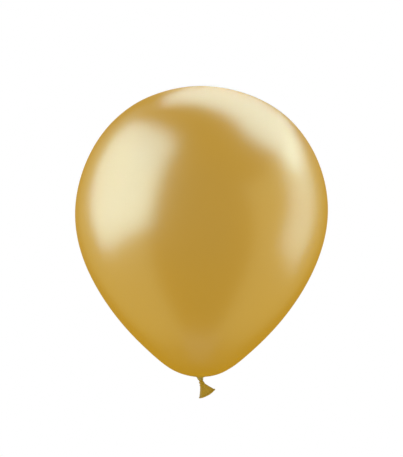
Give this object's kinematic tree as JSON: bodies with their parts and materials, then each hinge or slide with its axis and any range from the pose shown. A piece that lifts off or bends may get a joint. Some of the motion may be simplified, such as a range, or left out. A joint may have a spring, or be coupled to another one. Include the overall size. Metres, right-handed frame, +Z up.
{
  "type": "latex balloon",
  "caption": "Round latex party balloon, inflated and tied: a glossy teardrop envelope on a short gathered neck, with a knot and a flared loose tail with a rolled lip.",
  "frame": {"origin": "middle of the neck's waist, where a ribbon is tied, between the envelope and the knot", "axes": "+Z up through the envelope, +X to the side that the loose tail leans to, +Y away from the front"},
  "size_m": [0.3004, 0.3004, 0.3701],
  "materials": {
    "stretched_latex": "glossy pearl",
    "gathered_latex": "satin, pleated",
    "slack_latex": "satin",
    "lip_latex": "satin"
  },
  "bodies": {
    "envelope_body": {"envelope": "stretched_latex"},
    "neck_body": {"neck": "gathered_latex"},
    "knot_body": {"knot": "gathered_latex"},
    "throat_body": {"tail_throat": "gathered_latex"},
    "tail_body": {"tail_flare": "slack_latex", "rolled_lip": "lip_latex"}
  },
  "joints": [
    {"name": "neck_sway", "type": "hinge", "parent": "envelope_body", "child": "neck_body", "pos_m": [-0.0023, 0, 0.0057], "axis": [0, 1, 0], "range_deg": [-12, 50], "stiffness_Nm_per_rad": 0.002},
    {"name": "knot_nod", "type": "hinge", "parent": "neck_body", "child": "knot_body", "pos_m": [-0.00066, 0, 0.00162], "axis": [1, 0, 0], "range_deg": [-30, 30], "stiffness_Nm_per_rad": 0.002},
    {"name": "tail_twist", "type": "hinge", "parent": "knot_body", "child": "throat_body", "pos_m": [0.0003, 0, -0.0025], "axis": [0.4848, 0, -0.8746], "range_deg": [-70, 70], "stiffness_Nm_per_rad": 0.0005},
    {"name": "tail_flap", "type": "hinge", "parent": "throat_body", "child": "tail_body", "pos_m": [0.00259, 0, -0.00664], "axis": [0.8746, 0, 0.4848], "range_deg": [-45, 45], "stiffness_Nm_per_rad": 0.0005}
  ]
}
